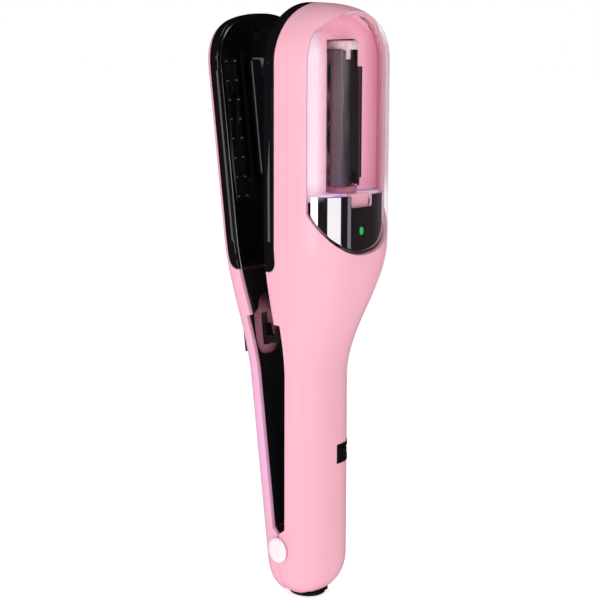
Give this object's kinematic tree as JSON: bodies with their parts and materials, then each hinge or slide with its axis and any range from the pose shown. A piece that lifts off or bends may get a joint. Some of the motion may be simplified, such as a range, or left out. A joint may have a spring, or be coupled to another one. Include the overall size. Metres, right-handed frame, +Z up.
{
  "type": "split-end hair trimmer",
  "caption": "Cordless split-end hair trimmer with a sprung press arm, a clear clippings chamber and a motor-driven cutting roller",
  "frame": {"origin": "on the base cap's flat underside, in the plane where the two closed halves meet, midway across the tool", "axes": "+Z up the tool towards the head, +X across the tool, -Y towards the clippings chamber, +Y towards the press arm"},
  "size_m": [0.05, 0.0755, 0.255],
  "materials": {
    "pink_plastic": "glossy moulded ABS with a pearl tint",
    "pale_pink_plastic": "glossy moulded ABS",
    "black_gloss": "piano-black ABS",
    "black_matte": "finely textured ABS",
    "clear_cover": "clear tinted polycarbonate",
    "chrome_trim": "vacuum-metallised ABS, mirror bright",
    "grey_metal": "satin dark steel sheet",
    "steel": "satin steel",
    "bronze": "sintered bronze",
    "cream_plastic": "satin acetal",
    "lilac_plastic": "glossy translucent ABS",
    "dark_pink_plastic": "satin ABS",
    "green_led": "clear green lens",
    "board_green": "solder-masked laminate",
    "battery_blue": "shrink-wrapped sleeve"
  },
  "bodies": {
    "body": {"main_shell": "pink_plastic", "front_panel": "chrome_trim", "cover_latch_tab": "pink_plastic", "led_lens": "green_led", "head_plate": "black_gloss", "comb_left": "black_matte", "comb_right": "black_matte", "handle_liner": "black_matte", "lock_strike": "steel", "head_screw_top": "steel", "head_screw_left": "steel", "head_screw_right": "steel", "liner_screw_upper": "steel", "liner_screw_lower": "steel", "chamber_liner": "pink_plastic", "chamber_floor": "lilac_plastic", "upper_bearing_block": "cream_plastic", "lower_bearing_block": "dark_pink_plastic", "upper_bush": "bronze", "lower_bush": "bronze", "bearing_leaf": "bronze", "blade_guard": "grey_metal", "guard_side_rail": "black_matte", "motor": "steel", "motor_bracket": "black_matte", "battery_cell": "battery_blue", "circuit_board": "board_green", "board_chip": "black_matte", "charge_socket": "steel", "power_switch_plate": "black_matte", "base_cap": "black_matte", "hinge_pin": "steel", "hinge_frame": "black_matte", "hinge_cap_left": "pale_pink_plastic", "hinge_cap_right": "pale_pink_plastic", "torsion_spring": "steel"},
    "arm": {"arm_shell": "pink_plastic", "arm_plate": "black_gloss", "pressure_bar": "black_gloss", "guide_rail_left": "black_gloss", "guide_rail_right": "black_gloss", "pin_strip_left": "black_matte", "pin_strip_right": "black_matte", "arm_liner": "black_matte", "lock_plate": "dark_pink_plastic", "arm_screw_top": "steel", "arm_screw_lower": "steel", "arm_knuckle": "black_matte"},
    "lock": {"lock_slider": "black_matte", "lock_hook": "black_matte"},
    "cutter": {"cutter_roller": "steel", "roller_shaft": "steel", "roller_gear": "cream_plastic"},
    "rotor": {"motor_pinion": "bronze", "motor_shaft": "steel"},
    "cover": {"chamber_cover": "clear_cover"},
    "switch": {"power_switch_knob": "black_matte"}
  },
  "joints": [
    {"name": "arm_hinge", "type": "hinge", "parent": "body", "child": "arm", "pos_m": [0, 0, 0.0225], "axis": [1, 0, 0], "range_deg": [0, 7.9], "stiffness_Nm_per_rad": 0.5, "springref_deg": -17.19, "deforming": ["torsion_spring"]},
    {"name": "lock_slide", "type": "slide", "parent": "arm", "child": "lock", "axis": [0, 0.1374, 0.9905], "range_m": [0, 0.004]},
    {"name": "roller_spin", "type": "hinge", "parent": "body", "child": "cutter", "pos_m": [0, -0.0112, 0.207], "axis": [0, 0, 1], "continuous": true},
    {"name": "pinion_spin", "type": "hinge", "parent": "body", "child": "rotor", "pos_m": [0.00576, -0.016, 0.163], "axis": [0, 0, 1], "continuous": true},
    {"name": "cover_lift", "type": "slide", "parent": "body", "child": "cover", "axis": [0, -1, 0], "range_m": [0, 0.04]},
    {"name": "switch_slide", "type": "slide", "parent": "body", "child": "switch", "axis": [0.7071, 0.7071, 0], "range_m": [0, 0.004]}
  ],
  "couplings": [
    {"joint": "pinion_spin", "follows": "roller_spin", "ratio": -2}
  ]
}
